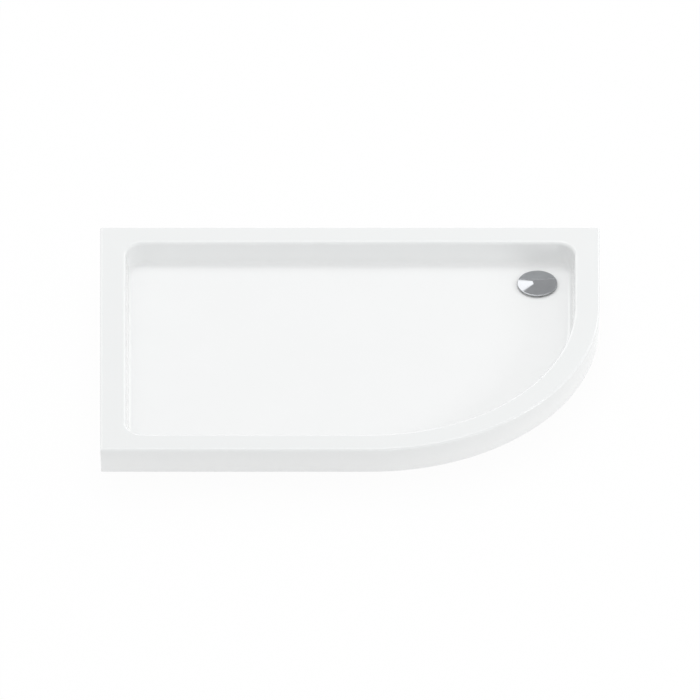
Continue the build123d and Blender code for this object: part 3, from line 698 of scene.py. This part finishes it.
# Each lamp's level is the brightness that it alone would give a white card facing it
lamps = {
    "rightPanel": {"azimuth": 78, "elevation": 22, "distance": 8000, "size": (2600, 1800), "level": 0.11},
    "backPanel": {"azimuth": 175, "elevation": 62, "distance": 8000, "size": (3600, 2600), "level": 0.13},
}


def floorMaterial():
    material, tree, place = startMaterial("paintedStudioFloor")
    path = addNode(tree, "ShaderNodeLightPath")
    seen = path.outputs["Is Camera Ray"]
    for ray in ("Is Glossy Ray", "Is Transmission Ray"):
        either = addNode(tree, "ShaderNodeMath", {"operation": "MAXIMUM"}, {0: seen, 1: path.outputs[ray]})
        seen = either.outputs["Value"]
    share = addNode(tree, "ShaderNodeMath", {"operation": "MULTIPLY"}, {0: seen, 1: studio["floorGlow"]})
    grain = addNode(tree, "ShaderNodeTexNoise", inputs={
        "Vector": place, "Scale": perMetre(studio["floorGrain"]), "Detail": 2.0})
    rough = addNode(tree, "ShaderNodeMapRange", inputs={
        "Value": grain.outputs["Fac"],
        "To Min": studio["floorRoughLow"], "To Max": studio["floorRoughHigh"]})
    paintCoat = addNode(tree, "ShaderNodeBsdfPrincipled", inputs={
        "Base Color": hexColour(studio["floorColour"]), "Roughness": rough.outputs["Result"],
        "Specular IOR Level": 0.0})
    glow = addNode(tree, "ShaderNodeEmission", inputs={"Color": (1, 1, 1, 1), "Strength": 1.0})
    mix = addNode(tree, "ShaderNodeMixShader", inputs={
        "Fac": share.outputs["Value"], 1: paintCoat.outputs["BSDF"], 2: glow.outputs["Emission"]})
    addNode(tree, "ShaderNodeOutputMaterial", inputs={"Surface": mix.outputs["Shader"]})
    return material


half = studio["floorSize"] / 2 * mm
floorMesh = bpy.data.meshes.new("studioFloor")
floorMesh.from_pydata([(-half, -half, 0), (half, -half, 0), (half, half, 0), (-half, half, 0)],
                      [], [(0, 1, 2, 3)])
studioFloor = bpy.data.objects.new("studioFloor", floorMesh)
bpy.context.scene.collection.objects.link(studioFloor)
studioFloor.data.materials.append(floorMaterial())

for name, lamp in lamps.items():
    bearing, rise = math.radians(lamp["azimuth"]), math.radians(lamp["elevation"])
    away = Vector((math.sin(bearing) * math.cos(rise), -math.cos(bearing) * math.cos(rise), math.sin(rise)))
    reach = lamp["distance"] * mm
    light = bpy.data.lights.new(name, "AREA")
    light.shape = "RECTANGLE"
    light.size, light.size_y = lamp["size"][0] * mm, lamp["size"][1] * mm
    light.energy = lamp["level"] * (math.pi * reach) ** 2    # watts that give this level at this distance
    lampObject = bpy.data.objects.new(name, light)
    lampObject.location = away * reach
    lampObject.rotation_euler = (-away).to_track_quat("-Z", "Y").to_euler()
    bpy.context.scene.collection.objects.link(lampObject)


# The surround: white to the eye, light that grows with height on everything, and for mirrors a grey
# hall on the right behind the tray, with a paler band low down, and a bright panel left of it
def surround():
    world = bpy.data.worlds.new("studioSurround")
    bpy.context.scene.world = world
    world.use_nodes = True
    tree = world.node_tree
    tree.nodes.clear()
    smooth = {"interpolation_type": "SMOOTHSTEP"}
    path = addNode(tree, "ShaderNodeLightPath")
    direction = addNode(tree, "ShaderNodeTexCoord").outputs["Generated"]
    parts = addNode(tree, "ShaderNodeSeparateXYZ", inputs={"Vector": direction})
    bearing = addNode(tree, "ShaderNodeMath", {"operation": "ARCTAN2"}, {
        0: parts.outputs["X"], 1: parts.outputs["Y"]})
    greySide = addNode(tree, "ShaderNodeMapRange", smooth, {
        "Value": bearing.outputs["Value"], "From Min": math.radians(studio["greyFromAzimuth"]),
        "From Max": math.radians(studio["greyFromAzimuth"] + studio["azimuthBlend"])})
    panel = addNode(tree, "ShaderNodeMapRange", smooth, {
        "Value": bearing.outputs["Value"], "From Min": math.radians(studio["panelFromAzimuth"]),
        "From Max": math.radians(studio["panelFromAzimuth"] + studio["azimuthBlend"]),
        "To Min": 1.0, "To Max": studio["mirrorPanel"]})
    overBand = addNode(tree, "ShaderNodeMapRange", smooth, {
        "Value": parts.outputs["Z"],
        "From Min": math.sin(math.radians(studio["bandTop"] - studio["bandBlend"])),
        "From Max": math.sin(math.radians(studio["bandTop"])),
        "To Min": studio["mirrorBand"], "To Max": studio["mirrorGrey"]})
    overFloor = addNode(tree, "ShaderNodeMapRange", smooth, {
        "Value": parts.outputs["Z"],
        "From Min": math.sin(math.radians(studio["bandFoot"] - studio["bandBlend"])),
        "From Max": math.sin(math.radians(studio["bandFoot"]))})
    hall = addNode(tree, "ShaderNodeMath", {"operation": "MULTIPLY"}, {
        0: greySide.outputs["Result"], 1: overFloor.outputs["Result"]})
    mirror = addNode(tree, "ShaderNodeMix", {"data_type": "FLOAT"}, {
        "Factor": hall.outputs["Value"], 2: panel.outputs["Result"], 3: overBand.outputs["Result"]})
    zenithShare = 1.5 - 0.5 * studio["horizonShare"]    # keeps a level card at the ambient level
    overhead = addNode(tree, "ShaderNodeMapRange", inputs={
        "Value": parts.outputs["Z"], "To Min": studio["ambient"] * studio["horizonShare"],
        "To Max": studio["ambient"] * zenithShare})
    forGlossy = addNode(tree, "ShaderNodeMix", {"data_type": "FLOAT"}, {
        "Factor": path.outputs["Is Glossy Ray"], 2: overhead.outputs["Result"], 3: mirror.outputs[0]})
    toEye = addNode(tree, "ShaderNodeMath", {"operation": "MAXIMUM"}, {
        0: path.outputs["Is Camera Ray"], 1: path.outputs["Is Transmission Ray"]})
    level = addNode(tree, "ShaderNodeMix", {"data_type": "FLOAT"}, {
        "Factor": toEye.outputs["Value"], 2: forGlossy.outputs[0], 3: 1.0})
    background = addNode(tree, "ShaderNodeBackground", inputs={
        "Color": (1, 1, 1, 1), "Strength": level.outputs[0]})
    addNode(tree, "ShaderNodeOutputWorld", inputs={"Surface": background.outputs["Background"]})


surround()

# The camera looks level with the tray's long side, from well above, with parallel sight lines
view = {"aim": (0, 0, 108.9), "elevation": 39.1, "distance": 6000, "width": 1681.7, "farthest": 100000}
camera = bpy.data.cameras.new("catalogueView")
camera.type = "ORTHO"
camera.ortho_scale = view["width"] * mm
camera.clip_end = view["farthest"] * mm
cameraObject = bpy.data.objects.new("catalogueView", camera)
rise = math.radians(view["elevation"])
offset = Vector((0, -math.cos(rise), math.sin(rise))) * view["distance"] * mm
cameraObject.location = Vector(view["aim"]) * mm + offset
cameraObject.rotation_euler = (math.radians(90 - view["elevation"]), 0, 0)
bpy.context.scene.collection.objects.link(cameraObject)
bpy.context.scene.camera = cameraObject
bpy.context.scene.view_settings.view_transform = "Standard"
print("stage: floor, lamps, surround and camera set")
